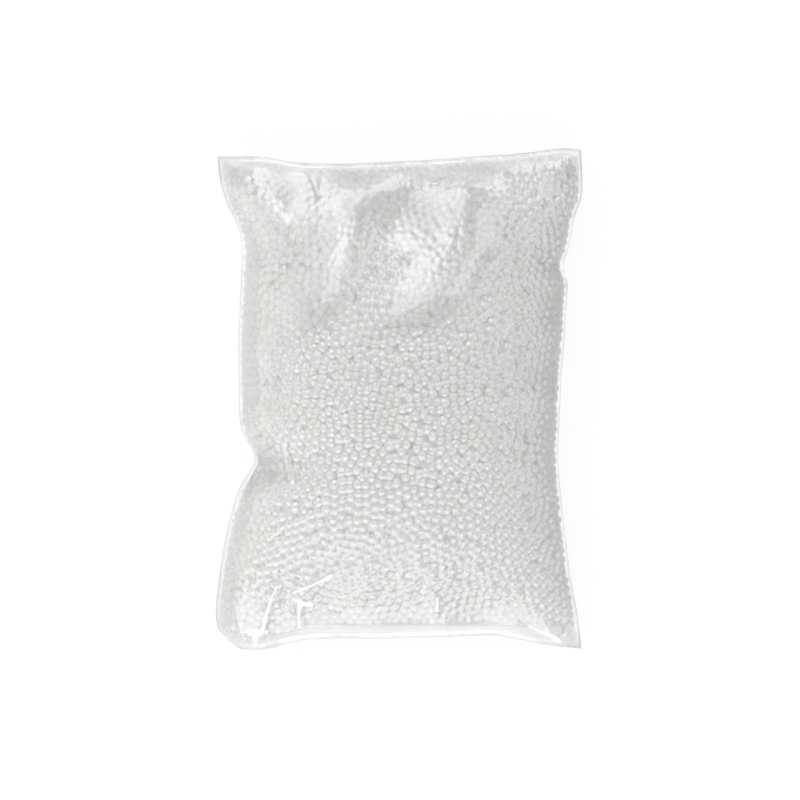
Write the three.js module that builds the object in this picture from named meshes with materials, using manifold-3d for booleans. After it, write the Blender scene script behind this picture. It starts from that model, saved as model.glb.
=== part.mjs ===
// A clear film pillow bag full of loose expanded polystyrene beads, lying on its back.
// Millimetres, +Z up, +Y towards the bag's top weld, +X to the right as seen from above.
// The origin is under the middle of the bag, on the surface that it lies on.
import * as THREE from "three";
import { ParametricGeometry } from "three/addons/geometries/ParametricGeometry.js";
import { mergeGeometries, mergeVertices } from "three/addons/utils/BufferGeometryUtils.js";
import Module from "manifold-3d";

// Overall size
const BAG_WIDTH = 210;
const BAG_LENGTH = 287;
const FRONT_RISE = 36;
const REAR_DROP = 34;
const EDGE_HEIGHT = 22;
const EAR_DROOP = 9;

// Film
const FILM_THICKNESS = 0.1;
const SIDE_MARGIN = 2.5;
const TOP_WELD = 2.5;
const BOTTOM_WELD = 3.5;
const WELD_DROOP = 2;
const SIDE_FULLNESS = 2.3;
const SIDE_ROUNDNESS = 0.5;
const END_FULLNESS = 2.6;
const END_ROUNDNESS = 0.85;
const FILM_COLUMNS = 20;
const FILM_ROWS = 28;

// Vent, a small round hole in the rear sheet that lets the bag be pressed flat
const VENT_DIAMETER = 4;
const VENT_X = 62;
const VENT_Y = 96;

// Gathers, where the slack of the flat tube is taken up along its edges
const SIDE_GATHERS = 7;
const END_GATHERS = 5;
const GATHER_HEIGHT = 1.6;
const GATHER_REACH = 5;

// Pinch pressed into the front sheet at the left side
const PINCH_DEPTH = 0.2;
const PINCH_ALONG = -0.25;
const PINCH_SPREAD = 0.09;
const PINCH_REACH = 0.12;

// Slack of the upper front film, which stands off the beads in two slanting folds with a hollow between them
const SLACK_HEIGHT = 3.5;
const SLACK_TOP = 125;
const CREST_X = -17;
const CREST_LEAN = 0.38;
const HOLLOW_X = 12;
const HOLLOW_LEAN = 0.47;
const SECOND_X = 42;
const SECOND_LEAN = 0.75;
const SECOND_TURN = 85;
const CREST_FLANK = 40;
const SECOND_FLANK = 30;
const SLACK_FROM = 24;
const SLACK_FADE_IN = 36;
const SLACK_TO = 142;
const SLACK_FADE_OUT = 14;

// Beads
const BEAD_DIAMETER = 5;
const BEADS_TO_A_DOME = 1.6;
const DOME_DEPTH = 3.6;
const HOLLOW_SHARE = 0.15;
const DOME_SCATTER = 0.12;
const REAR_COLUMNS = 10;
const REAR_ROWS = 44;
const REAR_REACH = 0.9;
const FILL_GAP = 0.3;
const FILL_SIDE_GAP = 1.2;
const FILL_CORNER = 0.09;
const FILL_RIM = 0.985;

// Each edge of the flat outline, as [place along the edge from -1 to 1, distance in from the full rectangle]
const LEFT_EDGE = [
  [-1, 6.3], [-0.94, 0.4], [-0.75, 1.8], [-0.5, 8], [-0.36, 14.5], [-0.25, 22.5], [-0.13, 15],
  [0, 13.6], [0.3, 13.4], [0.6, 15.2], [0.7, 13], [0.8, 6.6], [0.9, 2.2], [1, 0.6],
];
const RIGHT_EDGE = [
  [-1, 0.5], [-0.85, 3.4], [-0.7, 7.4], [-0.5, 11], [-0.25, 14.4], [0.05, 12.9], [0.3, 10.4],
  [0.46, 9.2], [0.53, 11.8], [0.61, 8.2], [0.72, 5.2], [0.82, 0.6], [1, 0.8],
];
const TOP_EDGE = [
  [-1, 4.5], [-0.75, 5.2], [-0.6, 8], [-0.4, 9.4], [0, 8.2], [0.4, 5.4], [0.7, 2.8], [0.9, 0], [1, 0.5],
];
const BOTTOM_EDGE = [
  [-1, 5.4], [-0.92, 0], [-0.8, 0.2], [-0.68, 3.4], [-0.52, 6.4], [0, 7.2], [0.5, 8.4], [0.62, 6.6],
  [0.76, 3.6], [1, 0],
];

// Smooth curve through an edge's distances.
function edgeCurve(points) {
  const places = new Float32Array(points.map(([place]) => place));
  const insets = new Float32Array(points.map(([, inset]) => inset));
  const curve = new THREE.CubicInterpolant(places, insets, 1, new Float32Array(1));
  return (place) => Math.max(0, curve.evaluate(place)[0]);
}
const leftInset = edgeCurve(LEFT_EDGE);
const rightInset = edgeCurve(RIGHT_EDGE);
const topInset = edgeCurve(TOP_EDGE);
const bottomInset = edgeCurve(BOTTOM_EDGE);

// Plan position of a place (u, v) on the flat bag, each from -1 to 1.
function planX(u, v) {
  const left = leftInset(v) - BAG_WIDTH / 2;
  const right = BAG_WIDTH / 2 - rightInset(v);
  return THREE.MathUtils.lerp(left, right, (u + 1) / 2);
}
function planY(u, v) {
  const bottom = bottomInset(u) - BAG_LENGTH / 2;
  const top = BAG_LENGTH / 2 - topInset(u);
  return THREE.MathUtils.lerp(bottom, top, (v + 1) / 2);
}

// Height of the film's edge: drooping at the ears and along the bottom weld, and rippled by the gathers.
function edgeLine(u, v) {
  const weld = Math.max(0, 1 - ((v + 1) * BAG_LENGTH) / (2 * BOTTOM_WELD));
  const droop = EAR_DROOP * Math.abs(u * v) ** 3 + WELD_DROOP * weld;
  const side = Math.abs(u) ** GATHER_REACH * Math.sin(SIDE_GATHERS * Math.PI * v + 3 * u);
  const end = Math.abs(v) ** GATHER_REACH * Math.sin(END_GATHERS * Math.PI * u + 2 * v);
  return EDGE_HEIGHT - droop + GATHER_HEIGHT * (side + end) * (1 - Math.abs(u * v));
}

// Share of the full height, 1 in the middle and 0 at the edge of the filled space. The ends taper.
function swell(across, along) {
  const sides = Math.max(0, 1 - Math.abs(across) ** SIDE_FULLNESS) ** SIDE_ROUNDNESS;
  const ends = Math.max(0, 1 - Math.abs(along) ** END_FULLNESS) ** END_ROUNDNESS;
  return sides * ends;
}

// Share of the front sheet's height lost in the pinch.
function pinch(across, along) {
  const spread = Math.exp(-(((along - PINCH_ALONG) / PINCH_SPREAD) ** 2));
  return PINCH_DEPTH * spread * Math.exp(-(across + 1) / PINCH_REACH);
}

// Height by which the slack front film stands off the beads at a plan point.
function slack(x, y) {
  const step = THREE.MathUtils.smoothstep;
  const crest = CREST_X - CREST_LEAN * (SLACK_TOP - y);
  const hollow = HOLLOW_X - HOLLOW_LEAN * (SLACK_TOP - y);
  const second = SECOND_X - SECOND_LEAN * Math.max(0, SECOND_TURN - y);
  const rise = Math.max(hollow + SECOND_FLANK / 2, second);
  const fadeIn = step(y, SLACK_FROM, SLACK_FROM + SLACK_FADE_IN);
  const fadeOut = 1 - step(y, SLACK_TO - SLACK_FADE_OUT, SLACK_TO);
  const first = step(x, crest - CREST_FLANK, crest) - step(x, crest, hollow);
  const last = step(x, hollow, rise) - step(x, rise, rise + SECOND_FLANK);
  return SLACK_HEIGHT * fadeIn * fadeOut * (first + last);
}

// Height of a sheet over the filled space, drawn in by a depth from the film's outer face.
function sheetHeight(u, v, across, along, isFront, depth, isFilm) {
  const share = swell(across, along);
  const edge = edgeLine(u, v);
  const stand = FILM_THICKNESS - depth;
  if (!isFront) {
    return Math.max(depth, edge - stand - REAR_DROP * share);
  }
  const loose = isFilm ? Math.min(1, 3 * share) * slack(planX(u, v), planY(u, v)) : 0;
  return edge + stand + FRONT_RISE * share * (1 - pinch(across, along)) + loose;
}

// Limits of the filled space on the flat bag, drawn in by a depth.
function spaceLimits(depth) {
  return {
    side: 1 - (2 * (SIDE_MARGIN + depth)) / BAG_WIDTH,
    bottom: -1 + (2 * (BOTTOM_WELD + depth)) / BAG_LENGTH,
    top: 1 - (2 * (TOP_WELD + depth)) / BAG_LENGTH,
  };
}

// Even steps from -1 to 1, drawn together towards the ends where the film turns down.
function eased(step) {
  const turn = Math.PI * 0.42;
  return Math.sin(turn * step) / Math.sin(turn);
}

// Point of a sheet at steps (s, t) across the filled space, drawn in by a depth and an inset from its sides.
function spacePoint(s, t, isFront, depth, inset, isFilm, target) {
  const limits = spaceLimits(inset);
  const across = eased(s);
  const along = eased(t);
  const u = limits.side * across;
  const v = THREE.MathUtils.lerp(limits.bottom, limits.top, (along + 1) / 2);
  return target.set(planX(u, v), planY(u, v), sheetHeight(u, v, across, along, isFront, depth, isFilm));
}

// Point of the outer face at grid place (column, row), with one flat strip of edge or weld all round.
function filmPoint(column, row, isFront, target) {
  const limits = spaceLimits(0);
  const s = THREE.MathUtils.clamp((2 * (column - 1)) / (FILM_COLUMNS - 2) - 1, -1, 1);
  const t = THREE.MathUtils.clamp((2 * (row - 1)) / (FILM_ROWS - 2) - 1, -1, 1);
  const onSide = column === 0 || column === FILM_COLUMNS;
  const onEnd = row === 0 || row === FILM_ROWS;
  if (!onSide && !onEnd) {
    return spacePoint(s, t, isFront, 0, 0, true, target);
  }
  const along = THREE.MathUtils.lerp(limits.bottom, limits.top, (eased(t) + 1) / 2);
  const u = onSide ? Math.sign(s) : limits.side * eased(s);
  const v = onEnd ? Math.sign(t) : along;
  return target.set(planX(u, v), planY(u, v), edgeLine(u, v));
}

// Closed skin from a front and a rear sheet that share their rim.
function closedSkin(front, rear) {
  const sheets = [front, rear].map((sheet) => {
    sheet.deleteAttribute("uv");
    sheet.deleteAttribute("normal");
    return sheet;
  });
  return mergeVertices(mergeGeometries(sheets), 1e-4);
}

// Outer face of the film, from its cut edges inwards.
function outerSkin() {
  const column = (u) => Math.round(u * FILM_COLUMNS);
  const row = (v) => Math.round(v * FILM_ROWS);
  const front = new ParametricGeometry(
    (u, v, target) => filmPoint(column(u), row(v), true, target), FILM_COLUMNS, FILM_ROWS);
  const rear = new ParametricGeometry(
    (u, v, target) => filmPoint(column(1 - u), row(v), false, target), FILM_COLUMNS, FILM_ROWS);
  return closedSkin(front, rear);
}

// Inner face of the film, round the filled space.
function innerSkin() {
  const columns = FILM_COLUMNS - 2;
  const rows = FILM_ROWS - 2;
  const wall = FILM_THICKNESS;
  const front = new ParametricGeometry(
    (u, v, target) => spacePoint(2 * u - 1, 2 * v - 1, true, wall, wall, true, target), columns, rows);
  const rear = new ParametricGeometry(
    (u, v, target) => spacePoint(1 - 2 * u, 2 * v - 1, false, wall, wall, true, target), columns, rows);
  return closedSkin(front, rear);
}

// Repeatable scatter from -1 to 1 for a lattice place.
function scatter(row, column, salt) {
  const wave = Math.sin(row * 12.9898 + column * 78.233 + salt * 37.719) * 43758.5453;
  return 2 * (wave - Math.floor(wave)) - 1;
}

// Point just inside the film's flat facets at steps (s, t).
function facetPoint(s, t, isFront) {
  const columns = FILM_COLUMNS - 2;
  const rows = FILM_ROWS - 2;
  const depth = FILM_THICKNESS + FILL_GAP;
  const inset = FILM_THICKNESS + FILL_SIDE_GAP;
  const facing = isFront ? 1 : -1;
  const x = ((facing * s + 1) / 2) * columns;
  const y = ((t + 1) / 2) * rows;
  const column = Math.min(Math.floor(x), columns - 1);
  const row = Math.min(Math.floor(y), rows - 1);
  const corner = (i, j) => {
    const stepS = facing * ((2 * (column + i)) / columns - 1);
    const stepT = (2 * (row + j)) / rows - 1;
    return spacePoint(stepS, stepT, isFront, depth, inset, false, new THREE.Vector3());
  };
  const p = x - column;
  const q = y - row;
  const point = new THREE.Vector3();
  if (p + q <= 1) {
    point.addScaledVector(corner(0, 0), 1 - p - q);
    point.addScaledVector(corner(1, 0), p);
    return point.addScaledVector(corner(0, 1), q);
  }
  point.addScaledVector(corner(1, 1), p + q - 1);
  point.addScaledVector(corner(1, 0), 1 - q);
  return point.addScaledVector(corner(0, 1), 1 - p);
}

// Place in the filled space of a point on a square from -1 to 1, with the square's corners drawn in.
function heapPlace(squareS, squareT) {
  const s = FILL_RIM * squareS * (1 - FILL_CORNER * squareT ** 8);
  const t = FILL_RIM * squareT * (1 - FILL_CORNER * squareS ** 8);
  return { s, t };
}

// List of a count of steps and its start, each given by a function of the step.
function steps(count, number) {
  return Array.from({ length: count + 1 }, (_, step) => number(step));
}

// Front of the heap: a staggered lattice, every third place a dome top and the rest hollows between them.
// Gives the vertex numbers along its four sides, in order round the heap.
function domedFront(positions, index) {
  const spacing = (BEAD_DIAMETER * BEADS_TO_A_DOME) / Math.sqrt(3);
  const columns = Math.round(BAG_WIDTH / spacing);
  const rows = 2 * Math.round(BAG_LENGTH / (spacing * Math.sqrt(3)));
  const starts = [];
  for (let row = 0; row <= rows; row += 1) {
    const odd = row % 2;
    const last = columns + odd;
    starts.push(positions.length / 3);
    for (let column = 0; column <= last; column += 1) {
      const onRim = row === 0 || row === rows || column === 0 || column === last;
      const loose = onRim ? 0 : DOME_SCATTER;
      const across = THREE.MathUtils.clamp(column - odd / 2, 0, columns);
      const squareS = (2 * (across + loose * scatter(row, column, 1))) / columns - 1;
      const squareT = (2 * (row + loose * scatter(row, column, 2))) / rows - 1;
      const { s, t } = heapPlace(squareS, squareT);
      const point = facetPoint(s, t, true);
      const below = facetPoint(s, t, false);
      const isTop = (column - odd - Math.floor(row / 2) - row + 3 * rows) % 3 === 0;
      if (onRim) {
        point.lerp(below, 0.5);
      } else if (!isTop) {
        point.z -= Math.min(DOME_DEPTH, HOLLOW_SHARE * (point.z - below.z));
      }
      positions.push(point.x, point.y, point.z);
    }
  }
  for (let row = 0; row < rows; row += 1) {
    const odd = row % 2;
    const low = starts[row];
    const high = starts[row + 1];
    for (let column = 0; column < columns; column += 1) {
      const corner = odd ? high + column : low + column + 1;
      index.push(low + column + odd, odd ? high + column + 1 : corner, odd ? corner : high + column + 1);
    }
    for (let column = 0; column <= columns; column += 1) {
      const corner = odd ? low + column + 1 : high + column + 1;
      index.push(low + column, corner, high + column);
    }
  }
  const total = positions.length / 3;
  return [
    steps(columns, (step) => starts[0] + step),
    steps(rows, (step) => (step === rows ? total : starts[step + 1]) - 1),
    steps(columns, (step) => total - 1 - step),
    steps(rows, (step) => starts[rows - step]),
  ];
}

// Plain rear of the heap, short of its rim. Gives the vertex numbers along its four sides in the same order.
function plainRear(positions, index) {
  const first = positions.length / 3;
  const at = (row, column) => first + row * (REAR_COLUMNS + 1) + column;
  for (let row = 0; row <= REAR_ROWS; row += 1) {
    for (let column = 0; column <= REAR_COLUMNS; column += 1) {
      const squareS = REAR_REACH * ((2 * column) / REAR_COLUMNS - 1);
      const squareT = REAR_REACH * ((2 * row) / REAR_ROWS - 1);
      const { s, t } = heapPlace(squareS, squareT);
      positions.push(...facetPoint(s, t, false).toArray());
      if (row < REAR_ROWS && column < REAR_COLUMNS) {
        index.push(at(row, column), at(row + 1, column), at(row, column + 1));
        index.push(at(row, column + 1), at(row + 1, column), at(row + 1, column + 1));
      }
    }
  }
  return [
    steps(REAR_COLUMNS, (step) => at(0, step)),
    steps(REAR_ROWS, (step) => at(step, REAR_COLUMNS)),
    steps(REAR_COLUMNS, (step) => at(REAR_ROWS, REAR_COLUMNS - step)),
    steps(REAR_ROWS, (step) => at(REAR_ROWS - step, 0)),
  ];
}

// Band of faces between one side of the rim and the same side of the rear, stepping along the one that lags.
function stitchSide(rim, rear, index) {
  const rimSteps = rim.length - 1;
  const rearSteps = rear.length - 1;
  let i = 0;
  let j = 0;
  while (i < rimSteps || j < rearSteps) {
    if (i * rearSteps <= j * rimSteps && i < rimSteps) {
      index.push(rim[i], rear[j], rim[i + 1]);
      i += 1;
    } else {
      index.push(rim[i], rear[j], rear[j + 1]);
      j += 1;
    }
  }
}

// Heap of beads: a domed front and a plain rear, stitched together below the rim.
function beadHeap() {
  const positions = [];
  const index = [];
  const rimSides = domedFront(positions, index);
  const rearSides = plainRear(positions, index);
  rimSides.forEach((rim, side) => stitchSide(rim, rearSides[side], index));
  const heap = new THREE.BufferGeometry();
  heap.setAttribute("position", new THREE.Float32BufferAttribute(positions, 3));
  heap.setIndex(index);
  return heap;
}

const wasm = await Module();
wasm.setup();

// Closed geometry to and from a solid that can be cut.
function toSolid(geometry) {
  const merged = geometry.index ? geometry : mergeVertices(geometry, 1e-4);
  const mesh = new wasm.Mesh({
    numProp: 3,
    vertProperties: new Float32Array(merged.attributes.position.array),
    triVerts: new Uint32Array(merged.index.array),
  });
  return new wasm.Manifold(mesh);
}
function toGeometry(solid) {
  const mesh = solid.getMesh();
  const geometry = new THREE.BufferGeometry();
  geometry.setAttribute("position", new THREE.Float32BufferAttribute(mesh.vertProperties, 3));
  geometry.setIndex(new THREE.Uint32BufferAttribute(mesh.triVerts, 1));
  return geometry;
}

// Round cutter that goes through the rear sheet only.
function ventCutter() {
  const height = EDGE_HEIGHT;
  const cutter = new THREE.CylinderGeometry(VENT_DIAMETER / 2, VENT_DIAMETER / 2, height, 12);
  cutter.deleteAttribute("uv");
  cutter.deleteAttribute("normal");
  cutter.rotateX(Math.PI / 2);
  cutter.translate(VENT_X, VENT_Y, EDGE_HEIGHT - height / 2);
  return mergeVertices(cutter, 1e-4);
}

const part = new THREE.Group();
part.name = "bag_of_polystyrene_beads";

// The film: outer face less the filled space, less the vent.
const film = toSolid(outerSkin()).subtract(toSolid(innerSkin())).subtract(toSolid(ventCutter()));
const bagFilm = new THREE.Mesh(
  toGeometry(film),
  new THREE.MeshStandardMaterial({ color: 0xf2f4f5, roughness: 0.15, transparent: true, opacity: 0.25 }),
);
bagFilm.name = "bag_film";
part.add(bagFilm);

// The beads: one heap that fills the bag.
const beadFill = new THREE.Mesh(
  beadHeap(),
  new THREE.MeshStandardMaterial({ color: 0xf3f2ee, roughness: 0.65 }),
);
beadFill.name = "bead_fill";
part.add(beadFill);

export default part;
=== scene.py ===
# %% [markdown]
# # A bag of polystyrene beads
# A pillow bag of thin clear film lies on its back, full of loose white beads. There are two things to
# make: a film that is seen mostly by its reflections and creases, and some thousands of round beads
# pressed up against the inside of it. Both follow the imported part, which is loaded first and stays
# where it is.

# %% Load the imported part
import bpy
import numpy as np
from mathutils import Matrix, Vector


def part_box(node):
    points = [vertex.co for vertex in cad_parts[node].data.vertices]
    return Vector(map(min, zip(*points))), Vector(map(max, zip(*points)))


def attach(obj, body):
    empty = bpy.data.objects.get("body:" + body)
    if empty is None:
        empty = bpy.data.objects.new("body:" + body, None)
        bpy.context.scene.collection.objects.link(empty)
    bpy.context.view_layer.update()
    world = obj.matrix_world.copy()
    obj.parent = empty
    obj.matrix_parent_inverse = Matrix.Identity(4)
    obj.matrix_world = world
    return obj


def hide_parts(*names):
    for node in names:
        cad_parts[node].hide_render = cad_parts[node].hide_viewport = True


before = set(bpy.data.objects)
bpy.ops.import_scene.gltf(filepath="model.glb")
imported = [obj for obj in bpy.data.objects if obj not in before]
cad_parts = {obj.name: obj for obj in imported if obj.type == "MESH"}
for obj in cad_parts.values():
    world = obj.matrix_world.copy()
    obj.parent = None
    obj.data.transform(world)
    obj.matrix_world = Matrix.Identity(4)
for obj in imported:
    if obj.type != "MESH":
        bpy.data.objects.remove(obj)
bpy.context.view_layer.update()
film_low, film_high = (np.array(corner, dtype=float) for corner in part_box("bag_film"))
BAG_WIDTH, BAG_LENGTH, BAG_HEIGHT = film_high - film_low
print("bag", BAG_WIDTH, BAG_LENGTH, BAG_HEIGHT)

# %% [markdown]
# ## The outline
# Flat, the bag is a rectangle. Filled, its sides are drawn in and its corners stay behind as ears. The
# outline could be one closed curve, but four edges that each run along one side of the rectangle let any
# point of the film be placed between them. Each edge is a list of points, a place along the edge from -1
# to 1 and the distance in from the rectangle in millimetres, with a smooth curve through them. They are
# the part's own numbers.

# %% The four edges
MM = 0.001
LEFT_EDGE = np.array([
    (-1, 6.3), (-0.94, 0.4), (-0.75, 1.8), (-0.5, 8), (-0.36, 14.5), (-0.25, 22.5), (-0.13, 15),
    (0, 13.6), (0.3, 13.4), (0.6, 15.2), (0.7, 13), (0.8, 6.6), (0.9, 2.2), (1, 0.6)]) * (1, MM)
RIGHT_EDGE = np.array([
    (-1, 0.5), (-0.85, 3.4), (-0.7, 7.4), (-0.5, 11), (-0.25, 14.4), (0.05, 12.9), (0.3, 10.4),
    (0.46, 9.2), (0.53, 11.8), (0.61, 8.2), (0.72, 5.2), (0.82, 0.6), (1, 0.8)]) * (1, MM)
TOP_EDGE = np.array([
    (-1, 4.5), (-0.75, 5.2), (-0.6, 8), (-0.4, 9.4), (0, 8.2), (0.4, 5.4), (0.7, 2.8), (0.9, 0),
    (1, 0.5)]) * (1, MM)
BOTTOM_EDGE = np.array([
    (-1, 5.4), (-0.92, 0), (-0.8, 0.2), (-0.68, 3.4), (-0.52, 6.4), (0, 7.2), (0.5, 8.4), (0.62, 6.6),
    (0.76, 3.6), (1, 0)]) * (1, MM)


def edge_curve(points, place):
    """Cubic curve through an edge's points, with at each the slope of the line between its neighbours."""
    x, y = points.T
    slope = np.empty_like(y)
    slope[1:-1] = (y[2:] - y[:-2]) / (x[2:] - x[:-2])
    slope[0] = (y[1] - y[0]) / (x[1] - x[0])
    slope[-1] = (y[-1] - y[-2]) / (x[-1] - x[-2])
    i = np.clip(np.searchsorted(x, place, side="right") - 1, 0, len(x) - 2)
    h = x[i + 1] - x[i]
    t = (place - x[i]) / h
    ends = y[i] * (1 + 2 * t) * (1 - t) ** 2 + y[i + 1] * t**2 * (3 - 2 * t)
    slopes = slope[i] * h * t * (1 - t) ** 2 - slope[i + 1] * h * t**2 * (1 - t)
    return np.maximum(0, ends + slopes)


def side_lines(v):
    """Places x of the left and the right edge, at the place v along the flat bag."""
    return edge_curve(LEFT_EDGE, v) - BAG_WIDTH / 2, BAG_WIDTH / 2 - edge_curve(RIGHT_EDGE, v)


def end_lines(u):
    """Places y of the bottom and the top edge, at the place u across the flat bag."""
    return edge_curve(BOTTOM_EDGE, u) - BAG_LENGTH / 2, BAG_LENGTH / 2 - edge_curve(TOP_EDGE, u)


def plan(u, v):
    """Place (x, y) of a flat point: as far from the left to the right edge as u, and up the bag as v."""
    left, right = side_lines(v)
    bottom, top = end_lines(u)
    return left + (right - left) * (u + 1) / 2, bottom + (top - bottom) * (v + 1) / 2


print("corner", [float(c) for c in plan(np.array(-1.0), np.array(-1.0))])

# %% [markdown]
# ## The swell of the bag
# The front sheet rises from the edge like a pillow, with a little more in the ears, where beads are
# pushed into the corners. The rear sheet drops in the same way. The edge itself droops at the ears and
# along the bottom weld, and ripples where the film gathers. A pinch is pressed in at the left side. Cloth
# under pressure could swell like this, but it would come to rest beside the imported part. The part's own
# formula keeps to it.

# %% Swell and ears
EDGE_HEIGHT, FRONT_RISE, REAR_DROP = 22 * MM, 36 * MM, 34 * MM
SIDE_MARGIN, TOP_WELD, BOTTOM_WELD = 2.5 * MM, 2.5 * MM, 3.5 * MM
ACROSS_POWER, SIDE_ROUNDING = 2.3, 0.5
ALONG_POWER, END_ROUNDING = 2.6, 0.85
EAR_RISE, EAR_END_POWER = 0.08, 24
EAR_ACROSS, EAR_ALONG = (0.55, 0.85), (0.6, 0.88)


def soft_step(value, start, end):
    """0 before start, 1 after end, and between them a cubic that leaves and arrives level."""
    t = np.clip((value - start) / (end - start), 0, 1)
    return t * t * (3 - 2 * t)


def swell(across, along):
    """Share of the full height: one less a power of the distance from the middle, across and along. The
    sides are round, so across it is the root of that. Along, it runs out to the welds nearly as a wedge."""
    sides = np.maximum(0, 1 - np.abs(across) ** ACROSS_POWER) ** SIDE_ROUNDING
    ends = np.maximum(0, 1 - np.abs(along) ** ALONG_POWER) ** END_ROUNDING
    return sides * ends


def ear_fill(across, along):
    """Share of the height that the ears add: soft steps start it inside each corner, and it ends at the
    edges by one less a high power of the distance."""
    across, along = np.abs(across), np.abs(along)
    started = EAR_RISE * soft_step(across, *EAR_ACROSS) * soft_step(along, *EAR_ALONG)
    return started * (1 - across**EAR_END_POWER) * (1 - along**EAR_END_POWER)


print("swell in the middle", swell(0.0, 0.0), "and in an ear", ear_fill(0.85, 0.85))

# %% Edge and pinch
SIDE = 1 - 2 * SIDE_MARGIN / BAG_WIDTH
LOW = -1 + 2 * BOTTOM_WELD / BAG_LENGTH
HIGH = 1 - 2 * TOP_WELD / BAG_LENGTH
CORNER_DROOP, WELD_DROOP, RIPPLE = 9 * MM, 2 * MM, 1.6 * MM
SIDE_RIPPLES, END_RIPPLES, RIPPLE_FADE = 7, 5, 5
PINCH_DEPTH, PINCH_PLACE, PINCH_LENGTH, PINCH_REACH = 0.2, -0.25, 0.09, 0.12


def edge_line(u, v):
    """Height of the film's edge: a level, less a droop at the corners and along the bottom weld, and sine
    ripples that fade inwards."""
    droop = CORNER_DROOP * np.abs(u * v) ** 3 + WELD_DROOP * np.clip((LOW - v) / (LOW + 1), 0, 1)
    side = np.abs(u) ** RIPPLE_FADE * np.sin(SIDE_RIPPLES * np.pi * v + 3 * u)
    end = np.abs(v) ** RIPPLE_FADE * np.sin(END_RIPPLES * np.pi * u + 2 * v)
    return EDGE_HEIGHT - droop + RIPPLE * (side + end) * (1 - np.abs(u * v))


def pinch(across, along):
    """Share of the front's height lost: a bell along the left side that fades inwards."""
    bell = np.exp(-(((along - PINCH_PLACE) / PINCH_LENGTH) ** 2))
    return PINCH_DEPTH * bell * np.exp(-(across + 1) / PINCH_REACH)


print("edge height at the lower left", edge_line(-1.0, -1.0))

# %% [markdown]
# ## Slack film
# At the upper front there is more film than the beads fill, so it stands off them in two soft waves that
# lean to the right. Such waves could be sculpted, but a sum of soft steps across leaning lines, as in the
# part, is a shape that can be named and changed.

# %% Slack
SLACK_HEIGHT, SLACK_TOP = 3.5 * MM, 125 * MM
CREST_X, CREST_LEAN, CREST_FLANK = -17 * MM, 0.38, 40 * MM
HOLLOW_X, HOLLOW_LEAN = 12 * MM, 0.47
SECOND_X, SECOND_LEAN, SECOND_TURN, SECOND_FLANK = 42 * MM, 0.75, 85 * MM, 30 * MM
SLACK_FROM, SLACK_FADE_IN, SLACK_TO, SLACK_FADE_OUT = 24 * MM, 36 * MM, 142 * MM, 14 * MM


def slack(x, y):
    """Height by which the upper front film stands off the beads: up to a crest, down to a hollow, up to a
    second crest and down again, on lines that lean to the right, with a fade at both ends."""
    crest = CREST_X - CREST_LEAN * (SLACK_TOP - y)
    hollow = HOLLOW_X - HOLLOW_LEAN * (SLACK_TOP - y)
    second = SECOND_X - SECOND_LEAN * np.maximum(0, SECOND_TURN - y)
    second = np.maximum(hollow + SECOND_FLANK / 2, second)
    fade_in = soft_step(y, SLACK_FROM, SLACK_FROM + SLACK_FADE_IN)
    fade_out = 1 - soft_step(y, SLACK_TO - SLACK_FADE_OUT, SLACK_TO)
    first = soft_step(x, crest - CREST_FLANK, crest) - soft_step(x, crest, hollow)
    last = soft_step(x, hollow, second) - soft_step(x, second, second + SECOND_FLANK)
    return SLACK_HEIGHT * fade_in * fade_out * (first + last)


print("slack on the first crest, mm", slack(CREST_X, SLACK_TOP) / MM)

# %% [markdown]
# ## The two sheets
# The film, the space for the beads and the middle of the heap are all the same pillow, drawn in by more
# or less. So one function gives the points of either sheet, with an inset from the sides and a depth from
# the face. The rear is flattened by the surface that the bag lies on.

# %% Points of a sheet
SLACK_RAMP = 3


def sheet(u, v, front, inset=0.0, depth=0.0, is_film=False):
    """Points of one sheet: the edge's height, plus the rise or less the drop times the share of the swell.
    Only the film has the slack, which fades in over the first third of the swell."""
    side = 1 - 2 * (SIDE_MARGIN + inset) / BAG_WIDTH
    bottom = -1 + 2 * (BOTTOM_WELD + inset) / BAG_LENGTH
    top = 1 - 2 * (TOP_WELD + inset) / BAG_LENGTH
    across = np.clip(u / side, -1, 1)
    along = np.clip(2 * (v - bottom) / (top - bottom) - 1, -1, 1)
    share = swell(across, along) + ear_fill(across, along)
    x, y = plan(u, v)
    edge = edge_line(u, v)
    if front:
        z = edge - depth + FRONT_RISE * share * (1 - pinch(across, along))
        if is_film:
            z = z + np.minimum(1, SLACK_RAMP * share) * slack(x, y)
    else:
        z = np.maximum(depth, edge + depth - REAR_DROP * share)
    return np.stack([x, y, z], axis=-1)


print("crown at", sheet(np.array(0.0), np.array(0.0), True))

# %% [markdown]
# ## Meshes from arrays
# Every piece is a grid of points or many copies of one small shape, so one helper puts an array of points
# and its faces into a mesh. Two more close a skin: one joins a front and a rear grid along their rim, and
# one fills the band between a fine rim and a coarser one.

# %% Mesh from points and faces
NO_TRIANGLES = np.zeros((0, 3), dtype=int)


def add_piece(name, points, quads, material, triangles=NO_TRIANGLES):
    """New smooth mesh object at the origin: points (n, 3), faces of four corners and faces of three."""
    corners = np.concatenate([quads.ravel(), triangles.ravel()])
    starts = np.concatenate([4 * np.arange(len(quads)), quads.size + 3 * np.arange(len(triangles))])
    mesh = bpy.data.meshes.new(name)
    mesh.vertices.add(len(points))
    mesh.vertices.foreach_set("co", np.ascontiguousarray(points, dtype=np.float32).ravel())
    mesh.loops.add(len(corners))
    mesh.loops.foreach_set("vertex_index", corners.astype(np.int32))
    mesh.polygons.add(len(starts))
    mesh.polygons.foreach_set("loop_start", starts.astype(np.int32))
    mesh.polygons.foreach_set("use_smooth", np.ones(len(starts), dtype=bool))
    mesh.update(calc_edges=True)
    mesh.validate()
    mesh.materials.append(material)
    piece = bpy.data.objects.new(name, mesh)
    bpy.context.scene.collection.objects.link(piece)
    return piece


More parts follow.
